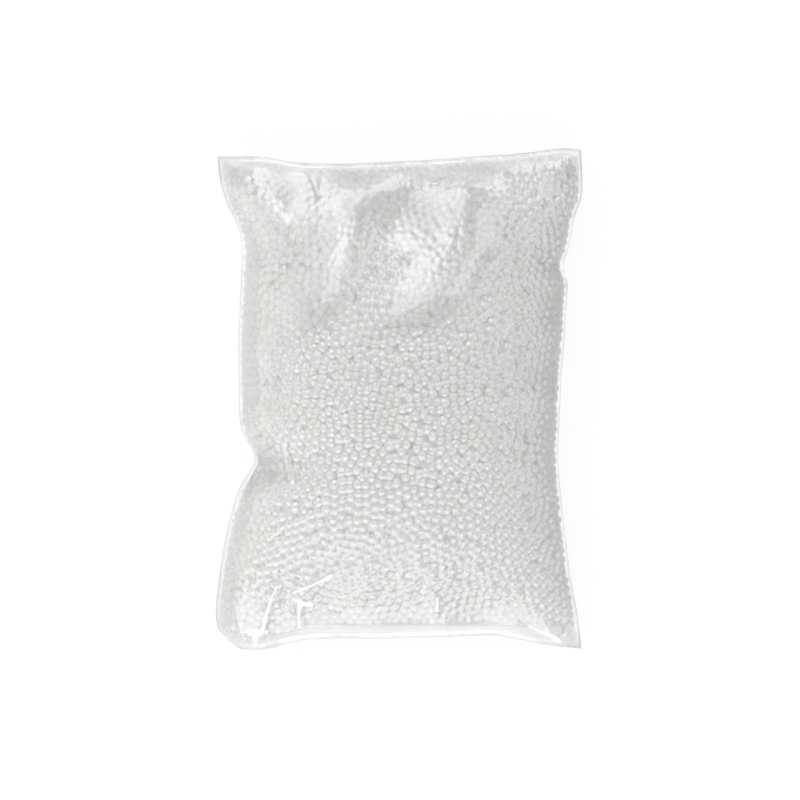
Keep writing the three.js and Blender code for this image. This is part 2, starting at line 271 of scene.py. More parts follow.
def cell_corners(index):
    """Four point numbers of each cell of a grid, in order round it. The cells of a grid whose rows run
    along +X and follow each other along +Y look up."""
    corners = [index[:-1, :-1], index[:-1, 1:], index[1:, 1:], index[1:, :-1]]
    return np.stack(corners, axis=-1).reshape(-1, 4)


print("mesh helper ready")

# %% Grids and rims


def joined_sheets(front, rear):
    """Closed skin of two grids (rows, columns, 3) that share their rim: points, and faces that look out."""
    rows, columns = front.shape[:2]
    front_index = np.arange(rows * columns).reshape(rows, columns)
    rear_index = front_index.copy()
    inner = np.arange((rows - 2) * (columns - 2)).reshape(rows - 2, -1)
    rear_index[1:-1, 1:-1] = rows * columns + inner
    points = np.concatenate([front.reshape(-1, 3), rear[1:-1, 1:-1].reshape(-1, 3)])
    return points, np.concatenate([cell_corners(front_index), cell_corners(rear_index)[:, ::-1]])


def rim(index):
    """The four sides of a grid of point numbers, in order round it."""
    return [index[0], index[:, -1], index[-1, ::-1], index[::-1, 0]]


def band(outer, inner):
    """Triangles between two rows of point numbers side by side, stepping along the row that lags."""
    m, n = len(outer) - 1, len(inner) - 1
    progress = np.concatenate([(np.arange(m) + 0.5) / m, (np.arange(n) + 0.5) / n])
    on_outer = np.argsort(progress, kind="stable") < m
    i = np.cumsum(on_outer) - on_outer
    j = np.cumsum(~on_outer) - ~on_outer
    third = np.where(on_outer, outer[np.minimum(i + 1, m)], inner[np.minimum(j + 1, n)])
    return np.stack([outer[i], inner[j], third], axis=-1)


def eased(count, first, last, turn=0.42 * np.pi):
    """Places from first to last, drawn together towards both ends, as a sine is over the given turn."""
    wave = np.sin(turn * np.linspace(-1, 1, count)) / np.sin(turn)
    return first + (last - first) * (wave + 1) / 2


print("five eased places", eased(5, -1, 1))

# %% [markdown]
# ## Bead finish
# An expanded bead is white foam that lets light soak through, so a heap of them has hardly any shade
# between the beads. Subsurface scattering could do that, but it is slow and noisy where thousands of
# small beads touch. Here nine tenths of the surface is a Translucent shader, which passes light on to the
# next bead, and the rest is a plain white skin. Only that skin has a bump, of cells well under half a
# millimetre wide. A thin gloss over both gives each bead its small highlight, and a slow noise shifts the
# white from bead to bead.

# %% Material helpers


def node(tree, kind, **inputs):
    """New shader node with its named inputs set."""
    made = tree.nodes.new(kind)
    for name, value in inputs.items():
        made.inputs[name.replace("_", " ")].default_value = value
    return made


def connect(tree, *pairs):
    """Links in a node tree, each from an output to an input."""
    for output, target in pairs:
        tree.links.new(output, target)


def new_material(name):
    """New material with nodes: the material, its node tree and its surface socket."""
    material = bpy.data.materials.new(name)
    material.use_nodes = True
    tree = material.node_tree
    return material, tree, tree.nodes["Material Output"].inputs["Surface"]


print("material helpers ready")

# %% Bead material
SOAK_SHARE, GLOSS_SHARE = 0.91, 0.1
BEAD_SHADE, BEAD_WHITE = (0.965, 0.964, 0.96, 1), (0.99, 0.9895, 0.987, 1)


def bead_finish():
    """White skin mixed with a share of Translucent, and that mixed with a share of gloss."""
    material, tree, surface = new_material("bead_white")
    place = tree.nodes.new("ShaderNodeTexCoord").outputs["Object"]
    cells = node(tree, "ShaderNodeTexVoronoi", Scale=2600.0)
    bump = node(tree, "ShaderNodeBump", Strength=0.12, Distance=0.0002)
    tint = node(tree, "ShaderNodeTexNoise", Scale=160.0, Detail=1.0)
    ramp = tree.nodes.new("ShaderNodeValToRGB")
    for element, position, colour in zip(ramp.color_ramp.elements, (0.3, 0.7), (BEAD_SHADE, BEAD_WHITE)):
        element.position = position
        element.color = colour
    skin = tree.nodes["Principled BSDF"]
    skin.inputs["Roughness"].default_value = 0.6
    skin.inputs["Specular IOR Level"].default_value = 0.0
    soak = tree.nodes.new("ShaderNodeBsdfTranslucent")
    foam = node(tree, "ShaderNodeMixShader", Fac=SOAK_SHARE)
    shine = node(tree, "ShaderNodeBsdfGlossy", Color=(1, 1, 1, 1), Roughness=0.15)
    bead = node(tree, "ShaderNodeMixShader", Fac=GLOSS_SHARE)
    connect(
        tree,
        (place, cells.inputs["Vector"]), (place, tint.inputs["Vector"]),
        (cells.outputs["Distance"], bump.inputs["Height"]), (bump.outputs["Normal"], skin.inputs["Normal"]),
        (tint.outputs["Fac"], ramp.inputs["Fac"]), (ramp.outputs["Color"], skin.inputs["Base Color"]),
        (ramp.outputs["Color"], soak.inputs["Color"]),
        (skin.outputs["BSDF"], foam.inputs[1]), (soak.outputs["BSDF"], foam.inputs[2]),
        (foam.outputs["Shader"], bead.inputs[1]), (shine.outputs["BSDF"], bead.inputs[2]),
        (bead.outputs["Shader"], surface))
    return material


bead_white = bead_finish()
print("made", bead_white.name)

# %% [markdown]
# ## The space for the beads
# Loose beads settle into a random close packing that lies up against the film. A physics simulation could
# drop them in, but it is slow for so many and lets some slip through a thin film. Instead, balls are
# strewn through the bag and pushed about until they fit: two that overlap move apart, and one that pokes
# through a sheet moves back inside. To look the sheets up fast, both are first written down as heights
# over a plan grid. Beyond the filled space the grid slopes inwards, so nothing settles in the welds.

# %% Heights over a plan grid
CELL, GRID_BORDER = 0.75 * MM, 6 * MM
CLOSING_SLOPE, UNPLAN_TURNS = 2, 6
grid_x = np.arange(-BAG_WIDTH / 2 - GRID_BORDER, BAG_WIDTH / 2 + GRID_BORDER, CELL)
grid_y = np.arange(-BAG_LENGTH / 2 - GRID_BORDER, BAG_LENGTH / 2 + GRID_BORDER, CELL)


def unplan(x, y):
    """Flat place (u, v) of a plan point, by turns: each is read off with the other's last value."""
    u, v = 2 * x / BAG_WIDTH, 2 * y / BAG_LENGTH
    for _ in range(UNPLAN_TURNS):
        left, right = side_lines(v)
        bottom, top = end_lines(u)
        u = np.clip(2 * (x - left) / (right - left) - 1, -1, 1)
        v = np.clip(2 * (y - bottom) / (top - bottom) - 1, -1, 1)
    return u, v


def height_field(front):
    """Height and the two slopes of a sheet over the plan grid. Beyond the filled space the sheets close."""
    x, y = np.meshgrid(grid_x, grid_y)
    u, v = unplan(x, y)
    u, v = np.clip(u, -SIDE, SIDE), np.clip(v, LOW, HIGH)
    near_x, near_y = plan(u, v)
    beyond = np.hypot(x - near_x, y - near_y)
    closing = -CLOSING_SLOPE if front else CLOSING_SLOPE
    z = sheet(u, v, front)[..., 2] + closing * beyond
    slope_y, slope_x = np.gradient(z, CELL)
    return np.stack([z, slope_x, slope_y])


FIELDS = {front: height_field(front) for front in (True, False)}
fill_volume = np.maximum(0, FIELDS[True][0] - FIELDS[False][0]).sum() * CELL**2
print("filled space, litres:", fill_volume * 1000)

# %% Looking up a sheet
INSIDE_GRID = 1.001


def off_grid(field, x, y):
    """Values of a field at plan points, each a mean of the four grid points round it, by nearness."""
    gx = np.clip((x - grid_x[0]) / CELL, 0, len(grid_x) - INSIDE_GRID)
    gy = np.clip((y - grid_y[0]) / CELL, 0, len(grid_y) - INSIDE_GRID)
    i, j = gx.astype(int), gy.astype(int)
    s, t = gx - i, gy - j
    near = field[..., j, i] * (1 - s) + field[..., j, i + 1] * s
    far = field[..., j + 1, i] * (1 - s) + field[..., j + 1, i + 1] * s
    return near * (1 - t) + far * t


def film_gap(places, front):
    """Distance of places from a sheet, as from its tangent plane, and the sheet's normal into the bag."""
    z, slope_x, slope_y = off_grid(FIELDS[front], places[:, 0], places[:, 1])
    inward = 1 if front else -1
    normal = np.stack([slope_x, slope_y, -np.ones_like(z)], axis=1) * inward
    size = np.linalg.norm(normal, axis=1)
    gap = (z - places[:, 2]) * inward / size
    return gap, normal / size[:, None]


crown_gap = film_gap(np.array([(0, 0, EDGE_HEIGHT)]), True)[0]
print("from the edge's level up to the film, mm:", crown_gap / MM)

# %% [markdown]
# ## Settling
# In each turn every overlapping pair moves apart by part of its overlap, and then every ball that touches
# a sheet moves back. Pairs are found by sorting the balls into cells, and are looked up again every few
# turns, because balls move little. About 19,000 balls are settled, but only the third near the film is
# kept: a front row, a second row that shows in the gaps, and the rear.

# %% Pairs of neighbours


def near_pairs(places, reach):
    """Pairs of places within reach: sorted into cubic cells, and looked up in the 27 cells round each."""
    cell = np.floor((places - places.min(axis=0)) / reach).astype(int) + 1
    shape = cell.max(axis=0) + 2
    flat = np.ravel_multi_index(cell.T, shape)
    order = np.argsort(flat, kind="stable")
    counts = np.bincount(flat, minlength=int(np.prod(shape)))
    starts = np.cumsum(counts) - counts
    first, second = [], []
    for di, dj, dk in np.ndindex(3, 3, 3):
        other = flat + ((di - 1) * shape[1] + dj - 1) * shape[2] + dk - 1
        for k in range(counts.max()):
            a = np.nonzero(counts[other] > k)[0]
            b = order[starts[other[a]] + k]
            a, b = a[a < b], b[a < b]
            close = np.sum((places[a] - places[b]) ** 2, axis=1) < reach**2
            first.append(a[close])
            second.append(b[close])
    return np.concatenate(first), np.concatenate(second)


print("neighbours of three balls in a row", near_pairs(np.array([(0, 0, 0), (1, 0, 0), (2, 0, 0)]), 1.5))

# %% Settle the beads
BEAD_DIAMETER, FILM_CLEARANCE = 5 * MM, 0.1 * MM
# Drawn radius of a bead over the radius that it is settled with
PRESSED = 1.13
PACKING, PACKING_SEED = 0.65, 11
SIZE_SPREAD, SMALLEST, LARGEST = 0.08, 0.82, 1.18
TURNS, LOOK_AGAIN, PAIR_REACH, PUSH = 240, 12, 1.35, 0.3


def strewn_balls(rng):
    """Random balls (centres, radii) inside the bag, as many as fill the packing's share of its space."""
    count = int(PACKING * fill_volume / (np.pi / 6 * BEAD_DIAMETER**3))
    box = np.array([BAG_WIDTH / 2, BAG_LENGTH / 2, BAG_HEIGHT / 2])
    places = rng.uniform(-1, 1, (4 * count, 3)) * box + (0, 0, BAG_HEIGHT / 2)
    inside = (film_gap(places, True)[0] > 0) & (film_gap(places, False)[0] > 0)
    places = places[inside][:count]
    sizes = np.clip(rng.normal(1, SIZE_SPREAD, len(places)), SMALLEST, LARGEST)
    return places, BEAD_DIAMETER / 2 * sizes


def settle(places, radii):
    """Push the places of balls apart along the lines between them, and off the sheets, many times."""
    for turn in range(TURNS):
        if turn % LOOK_AGAIN == 0:
            a, b = near_pairs(places, PAIR_REACH * BEAD_DIAMETER)
        step = places[a] - places[b]
        length = np.maximum(np.linalg.norm(step, axis=1), 1e-9)
        overlap = np.maximum(0, radii[a] + radii[b] - length)
        push = step / length[:, None] * (PUSH * overlap)[:, None]
        for axis in range(3):
            ahead = np.bincount(a, push[:, axis], len(places))
            places[:, axis] += ahead - np.bincount(b, push[:, axis], len(places))
        for front in (True, False):
            gap, normal = film_gap(places, front)
            places += normal * np.maximum(0, PRESSED * radii + FILM_CLEARANCE - gap)[:, None]
    print(len(places), "beads settled, mean overlap, mm:", overlap[overlap > 0].mean() / MM)


centres, radii = strewn_balls(np.random.default_rng(PACKING_SEED))
settle(centres, radii)

# %% Rows of beads that can be seen
FRONT_ROW, SECOND_ROW, REAR_ROW = 0.8 * BEAD_DIAMETER, 1.75 * BEAD_DIAMETER, 0.9 * BEAD_DIAMETER
front_gap, rear_gap = film_gap(centres, True)[0], film_gap(centres, False)[0]
is_front = front_gap < FRONT_ROW
is_second = ~is_front & (front_gap < SECOND_ROW)
is_rear = ~is_front & ~is_second & (rear_gap < REAR_ROW)
print("beads kept", is_front.sum(), is_second.sum(), is_rear.sum())

# %% [markdown]
# ## One small bead, many times
# A bead is a cube of 24 faces blown up to a ball: the 26 points of a 3 by 3 by 3 lattice without its
# middle, each moved out to the sphere. That is round enough at this size. Each copy is turned at random
# and is not quite a true ball. Instances on points would be lighter, but a part for reuse needs real
# meshes. Beads pressed against each other and the film are flat where they touch, so each is drawn a
# little larger than it was settled, until their gaps close.

# %% Ball and turns
SQUASH = (0.95, 1.03)


def ball():
    """Points of a lattice from -1 to 1 without its middle, set to length one, and its 24 outside faces."""
    lattice = np.stack(np.meshgrid(*[np.arange(-1, 2)] * 3, indexing="ij"), axis=-1).reshape(-1, 3)
    number = np.full((3, 3, 3), -1)
    kept = lattice[np.any(lattice != 0, axis=1)]
    number[tuple((kept + 1).T)] = np.arange(len(kept))
    faces = []
    for axis in range(3):
        for end in (0, 2):
            face = np.take(number, end, axis=axis)
            corners = [face[:-1, :-1], face[1:, :-1], face[1:, 1:], face[:-1, 1:]]
            quads = np.stack(corners, axis=-1).reshape(-1, 4)
            outward = (end == 2) == (axis != 1)
            faces.append(quads if outward else quads[:, ::-1])
    return kept / np.linalg.norm(kept, axis=1, keepdims=True), np.concatenate(faces)


def turned(count, rng):
    """Random rotations: unit quaternions written out as matrices."""
    q = rng.normal(size=(count, 4))
    w, x, y, z = (q / np.linalg.norm(q, axis=1, keepdims=True)).T
    rows = [1 - 2 * (y * y + z * z), 2 * (x * y - w * z), 2 * (x * z + w * y),
            2 * (x * y + w * z), 1 - 2 * (x * x + z * z), 2 * (y * z - w * x),
            2 * (x * z - w * y), 2 * (y * z + w * x), 1 - 2 * (x * x + y * y)]
    return np.stack(rows, axis=-1).reshape(-1, 3, 3)


print("ball of", len(ball()[0]), "points and", len(ball()[1]), "faces")

# %% Build the beads


def bead_piece(name, chosen, seed):
    """The chosen beads as one mesh: the ball, squashed a little and turned, at each centre."""
    rng = np.random.default_rng(seed)
    points, faces = ball()
    count = int(chosen.sum())
    squash = rng.uniform(*SQUASH, (count, 1, 3))
    balls = np.einsum("nij,nkj->nki", turned(count, rng), points[None] * squash)
    where = centres[chosen][:, None] + PRESSED * radii[chosen][:, None, None] * balls
    many = faces[None] + len(points) * np.arange(count)[:, None, None]
    piece = add_piece(name, where.reshape(-1, 3), many.reshape(-1, 4), bead_white)
    print(name, count, "beads,", 2 * len(piece.data.polygons), "triangles")
    return piece


bead_pieces = [
    bead_piece("beads_front", is_front, 21),
    bead_piece("beads_second_row", is_second, 22),
    bead_piece("beads_rear", is_rear, 23),
]

# %% [markdown]
# ## The heap inside
# Light that gets between the outer beads meets more beads. They are never seen, so a closed lump of the
# same white fills the middle.

# %% Middle of the heap
CORE_COLUMNS, CORE_ROWS, CORE_RIM = 40, 52, 0.9
CORE_INSET, CORE_FRONT_DEPTH, CORE_REAR_DEPTH, CORE_HALF = 9 * MM, 9.5 * MM, 5 * MM, 0.2 * MM
core_u, core_v = np.meshgrid(
    eased(CORE_COLUMNS, -CORE_RIM, CORE_RIM), eased(CORE_ROWS, -CORE_RIM, CORE_RIM))
core_front = sheet(core_u, core_v, True, CORE_INSET, CORE_FRONT_DEPTH)
core_rear = sheet(core_u, core_v, False, CORE_INSET, CORE_REAR_DEPTH)
core_middle = (core_front[..., 2] + core_rear[..., 2]) / 2
core_front[..., 2] = np.maximum(core_front[..., 2], core_middle + CORE_HALF)
core_rear[..., 2] = np.minimum(core_rear[..., 2], core_middle - CORE_HALF)
heap_core = add_piece("beads_middle", *joined_sheets(core_front, core_rear), bead_white)
print("core", len(heap_core.data.polygons), "faces")

# %% [markdown]
# ## Clear film
# Thin film bends no light, so it needs no glass: it lets most of the light straight through and mirrors a
# small share, more at a glancing angle. That share is set by a power of how far the surface turns away
# from the eye. Film that has been handled mirrors a lamp as a bright middle in a soft glow, so it has a
# sharp and a soft shine, with faint dimples. Haze spreads part of the light, and white painted on some
# folds stands in for their glints. How hazy, glinting or clear it is changes from place to place, so the
# mesh carries those three values and the material reads them. The tint has fixed ends, so that the film
# is pale everywhere.

# %% Shine of the film
MIRROR_LEAST, MIRROR_GAIN, MIRROR_POWER = 0.09, 0.3, 4.0
SOFT_SHARE, SHARP_ROUGHNESS, SOFT_ROUGHNESS = 0.6, 0.1, 0.27


def maths_node(tree, operation, *values):
    """Maths node whose inputs after the first are the given values."""
    made = tree.nodes.new("ShaderNodeMath")
    made.operation = operation
    for number, value in enumerate(values, start=1):
        made.inputs[number].default_value = value
    return made


def mirror_share(tree):
    """Output of the mirrored share: the least, plus a gain times a power of the turn from the eye."""
    facing = node(tree, "ShaderNodeLayerWeight", Blend=0.5)
    power = maths_node(tree, "POWER", MIRROR_POWER)
    share = maths_node(tree, "MULTIPLY_ADD", MIRROR_GAIN, MIRROR_LEAST)
    connect(
        tree,
        (facing.outputs["Facing"], power.inputs[0]), (power.outputs["Value"], share.inputs[0]))
    return share.outputs["Value"]


def film_shine(tree):
    """Output of the film's gloss: a sharp and a soft one mixed, both over the same faint dimples."""
    place = tree.nodes.new("ShaderNodeTexCoord")
    dimples = node(tree, "ShaderNodeTexNoise", Scale=120.0, Detail=2.0)
    bump = node(tree, "ShaderNodeBump", Strength=0.1, Distance=0.0004)
    sharp = node(tree, "ShaderNodeBsdfGlossy", Color=(1, 1, 1, 1), Roughness=SHARP_ROUGHNESS)
    soft = node(tree, "ShaderNodeBsdfGlossy", Color=(1, 1, 1, 1), Roughness=SOFT_ROUGHNESS)
    gloss = node(tree, "ShaderNodeMixShader", Fac=SOFT_SHARE)
    connect(
        tree,
        (place.outputs["Object"], dimples.inputs["Vector"]),
        (dimples.outputs["Fac"], bump.inputs["Height"]),
        (bump.outputs["Normal"], sharp.inputs["Normal"]), (bump.outputs["Normal"], soft.inputs["Normal"]),
        (sharp.outputs["BSDF"], gloss.inputs[1]), (soft.outputs["BSDF"], gloss.inputs[2]))
    return gloss.outputs["Shader"]


print("mirrored share, from facing to edge on:", MIRROR_LEAST, MIRROR_LEAST + MIRROR_GAIN)

# %% Film material
DULLEST, CLEAREST = 0.8, 0.98
# White that is painted on folds of the film as their glints
GLINT_PAINT_COLOUR = (0.98, 0.98, 0.975, 1)


def carried(tree, name):
    """Output of a node that reads a value which the mesh carries at its points."""
    attribute = tree.nodes.new("ShaderNodeAttribute")
    attribute.attribute_name = name
    return attribute.outputs["Fac"]


def film_finish():
    """Clear film mixed with haze, that mixed with the shine, and that mixed with white painted on as
    glints.
    """
    material, tree, surface = new_material("clear_film")
    tree.nodes.remove(tree.nodes["Principled BSDF"])
    clear = tree.nodes.new("ShaderNodeBsdfTransparent")
    milky = tree.nodes.new("ShaderNodeBsdfTranslucent")
    white = node(tree, "ShaderNodeBsdfDiffuse", Color=GLINT_PAINT_COLOUR)
    passed = node(tree, "ShaderNodeMapRange", To_Min=DULLEST, To_Max=CLEAREST)
    veil, mirror, glint_mix = (tree.nodes.new("ShaderNodeMixShader") for _ in range(3))
    connect(
        tree,
        (carried(tree, "clearness"), passed.inputs["Value"]),
        (passed.outputs["Result"], clear.inputs["Color"]),
        (passed.outputs["Result"], milky.inputs["Color"]),
        (carried(tree, "haze"), veil.inputs["Fac"]),
        (clear.outputs["BSDF"], veil.inputs[1]), (milky.outputs["BSDF"], veil.inputs[2]),
        (mirror_share(tree), mirror.inputs["Fac"]),
        (veil.outputs["Shader"], mirror.inputs[1]), (film_shine(tree), mirror.inputs[2]),
        (carried(tree, "painted_glint_and_sheen"), glint_mix.inputs["Fac"]),
        (mirror.outputs["Shader"], glint_mix.inputs[1]), (white.outputs["BSDF"], glint_mix.inputs[2]),
        (glint_mix.outputs["Shader"], surface))
    return material


clear_film = film_finish()
print("made", clear_film.name)

# %% [markdown]
# ## The film over the beads
# The film is drawn tight over the beads, so it follows the top of each one and sags a little between
# them. The small bright dashes that a filled bag shows are its mirror images of the light on those bumps.
# Shrinkwrap could lay it on the beads, but it would follow every gap. Here the bead tops are stamped into
# the plan grid, and the gap from the sheet down to them, smoothed but never past a bead, is how far the
# film sinks.

# %% Sag between the beads
SAG_LIMIT, SAG_SMOOTHING = 1.7 * MM, 3


def bead_tops():
    """Height of the highest bead over each point of the plan grid, and zero where there is none."""
    tops = np.zeros((len(grid_y), len(grid_x)))
    x, y, z = centres[is_front].T
    radius = PRESSED * radii[is_front]
    reach = int(np.ceil(radius.max() / CELL))
    i0 = np.rint((x - grid_x[0]) / CELL).astype(int) - reach
    j0 = np.rint((y - grid_y[0]) / CELL).astype(int) - reach
    for di, dj in np.ndindex(2 * reach + 1, 2 * reach + 1):
        room = radius**2 - (grid_x[i0 + di] - x) ** 2 - (grid_y[j0 + dj] - y) ** 2
        top = np.where(room > 0, z + np.sqrt(np.maximum(0, room)), 0)
        np.maximum.at(tops, (j0 + dj, i0 + di), top)
    return tops


def softened(field):
    """A field with each point a mean of itself, twice, and its neighbours, once, along both axes."""
    field[1:-1] = (field[:-2] + 2 * field[1:-1] + field[2:]) / 4
    field[:, 1:-1] = (field[:, :-2] + 2 * field[:, 1:-1] + field[:, 2:]) / 4
    return field


room_under_film = np.clip(FIELDS[True][0] - bead_tops(), 0, SAG_LIMIT)
sag_field = room_under_film.copy()
for _ in range(SAG_SMOOTHING):
    sag_field = np.minimum(softened(sag_field), room_under_film)
print("mean sag, mm:", sag_field.mean() / MM)

# %% [markdown]
# ## Tight film and loose film
# Where the film is slack, and towards its edges, it stands clear of the beads and stays smooth. A grid
# fine enough for the bumps carries the film, with a few rows of its own for each weld.

# %% Fine grid of the film
FILM_COLUMNS, FILM_ROWS, FILM_TURN = 250, 345, 0.3 * np.pi
BOTTOM_ROWS, TOP_ROWS = 8, 5
MID_MARGIN = (1 + SIDE) / 2
film_u1 = np.concatenate([[-1, -MID_MARGIN], eased(FILM_COLUMNS, -SIDE, SIDE, FILM_TURN), [MID_MARGIN, 1]])
film_v1 = np.concatenate([
    np.linspace(-1, LOW, BOTTOM_ROWS)[:-1], eased(FILM_ROWS, LOW, HIGH, FILM_TURN),
    np.linspace(HIGH, 1, TOP_ROWS)[1:]])
film_u, film_v = np.meshgrid(film_u1, film_v1)
film_front = sheet(film_u, film_v, True, is_film=True)
film_x, film_y = film_front[..., 0], film_front[..., 1]
print("film grid", film_u.shape)

# %% How loose the film is
LOOSE_MOST, LOOSE_FROM, LOOSE_TO = 0.85, 0.3 * MM, 1.5 * MM
LEFT_PATCH, PATCH_FROM, PATCH_TO = 28 * MM, 70 * MM, 100 * MM
TIGHT_LEFT, TIGHT_RIGHT, TIGHT_BOTTOM, TIGHT_TOP = (0.05, 0.35), (0.02, 0.08), (0.06, 0.18), (0.04, 0.16)


def looseness(u, v, x, y):
    """1 where the film stands clear of the beads and 0 where it is tight: soft steps of the slack, of the
    same slack moved to the left near the top, and of the distance from each edge."""
    left_patch = slack(x + LEFT_PATCH, y) * soft_step(y, PATCH_FROM, PATCH_TO)
    stand = np.maximum(slack(x, y), left_patch)
    across = soft_step(1 + u, *TIGHT_LEFT) * soft_step(1 - u, *TIGHT_RIGHT)
    along = soft_step(1 + v, *TIGHT_BOTTOM) * soft_step(1 - v, *TIGHT_TOP)
    return 1 - (1 - LOOSE_MOST * soft_step(stand, LOOSE_FROM, LOOSE_TO)) * across * along


loose = looseness(film_u, film_v, film_x, film_y)
print("mean looseness", loose.mean())

# %% [markdown]
# ## Folds and gathers
# Film can't sink into the beads, so its folds only stand out: each is a sharp ridge along a short line.
# Those seen at the lower corners and at the left pinch are placed one by one. The edges have small
# gathers all along, where no single one matters, so they are drawn at random.

# %% Folds


def ridge(x, y, start, end, width, height):
    """Height of a fold: sharp across the line from start to end, an arch along it."""
    (x0, y0), (x1, y1) = start, end
    length = np.hypot(x1 - x0, y1 - y0)
    along = ((x - x0) * (x1 - x0) + (y - y0) * (y1 - y0)) / length**2
    off = ((x - x0) * (y1 - y0) - (y - y0) * (x1 - x0)) / length
    arch = np.sin(np.pi * np.clip(along, 0, 1))
    return height * arch * np.exp(-np.abs(off) / width)


# Each fold: from, to (x, y), width of its flank and height, in millimetres
FOLDS = [
    ((-66, -98), (-80, -138), 2.6, 2.2), ((-32, -95), (-64, -112), 2.8, 2.0),
    ((-48, -112), (-62, -121), 3.0, 2.2), ((-57, -114), (-57, -134), 1.6, 1.2),
    ((-78, -128), (-68, -146), 2.6, 2.0), ((20, -108), (22, -124), 1.6, 1.4),
    ((64, -122), (97, -141), 2.8, 2.2), ((78, -118), (90, -140), 1.8, 1.0),
    ((16, 118), (26, 125), 1.5, 0.8), ((34, 116), (44, 122), 1.5, 0.8),
    ((-74, -29), (-88, -56), 0.8, 2.6),
]
film_mm = film_x / MM, film_y / MM
lift = sum(ridge(*film_mm, *fold) for fold in FOLDS) * MM
print("highest fold, mm:", lift.max() / MM)

# %% Gathers along the edges
GATHERS, GATHER_SEED, GATHER_START = 26, 31, 1.02
GATHER_PLACE, GATHER_REACH, GATHER_LEAN = (-0.96, 0.96), (0.03, 0.1), (-0.06, 0.06)
GATHER_HEIGHT = (0.15, 0.5)
END_FLANK, SIDE_FLANK = 0.008, 0.006
# Each edge: place along it, place across it, its side of the bag and the flank of its gathers
GATHERED_EDGES = [
    (film_u, film_v, -1, END_FLANK), (film_u, film_v, 1, END_FLANK),
    (film_v, film_u, -1, SIDE_FLANK), (film_v, film_u, 1, SIDE_FLANK),
]
rng = np.random.default_rng(GATHER_SEED)
for along, across, side, flank in GATHERED_EDGES:
    for _ in range(GATHERS):
        place = rng.uniform(*GATHER_PLACE)
        reach = rng.uniform(*GATHER_REACH)
        lean = rng.uniform(*GATHER_LEAN)
        height = rng.uniform(*GATHER_HEIGHT)
        start, end = (place, side * GATHER_START), (place + lean, side * (1 - reach * 2))
        lift += ridge(along, across, start, end, flank, height) * MM
print("mean lift with gathers, mm:", lift.mean() / MM)

# %% [markdown]
# ## The bag as one skin
# The front sinks by its sag where it is tight and stands out along its own normals by its folds. The rear
# is hardly seen, so its grid is coarser, and a band of triangles joins both rims. The real film is a
# tenth of a millimetre thick, which no picture shows, so a skin without thickness does.

# %% Build the film
REAR_COLUMNS, REAR_ROWS, REAR_RIM = 60, 84, 0.985
FILM_THICKNESS = 0.1 * MM
normal = np.cross(np.gradient(film_front, axis=1), np.gradient(film_front, axis=0))
normal /= np.linalg.norm(normal, axis=-1, keepdims=True)
film_front[..., 2] -= off_grid(sag_field, film_x, film_y) * (1 - loose)
film_front = film_front + normal * lift[..., None]

rear_u, rear_v = np.meshgrid(
    eased(REAR_COLUMNS, -REAR_RIM, REAR_RIM), eased(REAR_ROWS, -REAR_RIM, REAR_RIM))
film_rear = sheet(rear_u, rear_v, False) - (0, 0, FILM_THICKNESS)
film_rear[..., 2] = np.maximum(film_rear[..., 2], 0)
front_index = np.arange(film_u.size).reshape(film_u.shape)
rear_index = film_u.size + np.arange(rear_u.size).reshape(rear_u.shape)
bag_film = add_piece(
    "film_bag",
    np.concatenate([film_front.reshape(-1, 3), film_rear.reshape(-1, 3)]),
    np.concatenate([cell_corners(front_index), cell_corners(rear_index)[:, ::-1]]),
    clear_film,
    np.concatenate([band(outer, inner) for outer, inner in zip(rim(front_index), rim(rear_index))]))
print("film", len(bag_film.data.vertices), "points")

# %% [markdown]
# ## Painted glints
# Where folds of the film catch the light, white is painted on them as their glints. Those lines could be
# drawn in an image, but a value at each point of the mesh needs no file and moves with the film. Each
# glint is a line that widens or narrows, and a faint painted sheen lies along the strip above the bottom
# weld.

# %% Painted glints
# Strength of the painted glints and of the faint painted sheen above the bottom weld
GLINT_WHITE, SHEEN_STRIP_WHITE, STREAK_CORE = 0.62, 0.15, 0.4


def streak(x, y, start, end, start_width, end_width):
    """1 on a line from start to end, falling to 0 at its half width, which changes evenly along it."""
    (x0, y0), (x1, y1) = start, end
    length = np.hypot(x1 - x0, y1 - y0)
    along = np.clip(((x - x0) * (x1 - x0) + (y - y0) * (y1 - y0)) / length**2, 0, 1)
    off = np.hypot(x - x0 - along * (x1 - x0), y - y0 - along * (y1 - y0))
    width = start_width + (end_width - start_width) * along
    return 1 - soft_step(off, STREAK_CORE * width, width)


# Each painted glint: from, to (x, y) and half width at both ends, in millimetres
PAINTED_GLINTS = [
    ((-69, -105), (-73, -114), 0.4, 0.8), ((-73, -114), (-79, -134), 0.8, 1.0),
    ((-38, -99), (-44, -102), 1.5, 0.8), ((-44, -102), (-60, -109), 0.8, 0.5),
    ((-60, -113), (-50, -116), 0.7, 2.2), ((-56, -115), (-57, -120), 2.4, 0.8),
    ((-57, -120), (-57, -130), 0.8, 0.4), ((-88, -132), (-75.5, -131.5), 0.9, 1.2),
    ((-82, -133), (-82.5, -141), 3.2, 0.6), ((21.4, -112), (21.4, -116), 0.7, 1.2),
    ((21.4, -116), (20.6, -119.5), 1.2, 0.8), ((73, -128), (88, -134.5), 0.4, 1.0),
    ((88, -135), (91, -138), 1.6, 1.8), ((0.5, 124), (0.5, 127), 0.7, 0.7),
    ((19, 121.5), (20.5, 121.5), 0.8, 0.8),
]
# Faint painted sheen along the strip above the bottom weld: from, to (x, y) and half width at both ends, in
# millimetres
BOTTOM_SHEEN_STRIP = (-57, -130.5), (90, -131.5), 3.6, 3.6
glint_lines = np.max([streak(*film_mm, *line) for line in PAINTED_GLINTS], axis=0)
painted_glint_and_sheen = np.maximum(GLINT_WHITE * glint_lines, SHEEN_STRIP_WHITE * streak(*film_mm, *BOTTOM_SHEEN_STRIP))
print("creased share of the front", (painted_glint_and_sheen > 0).mean())
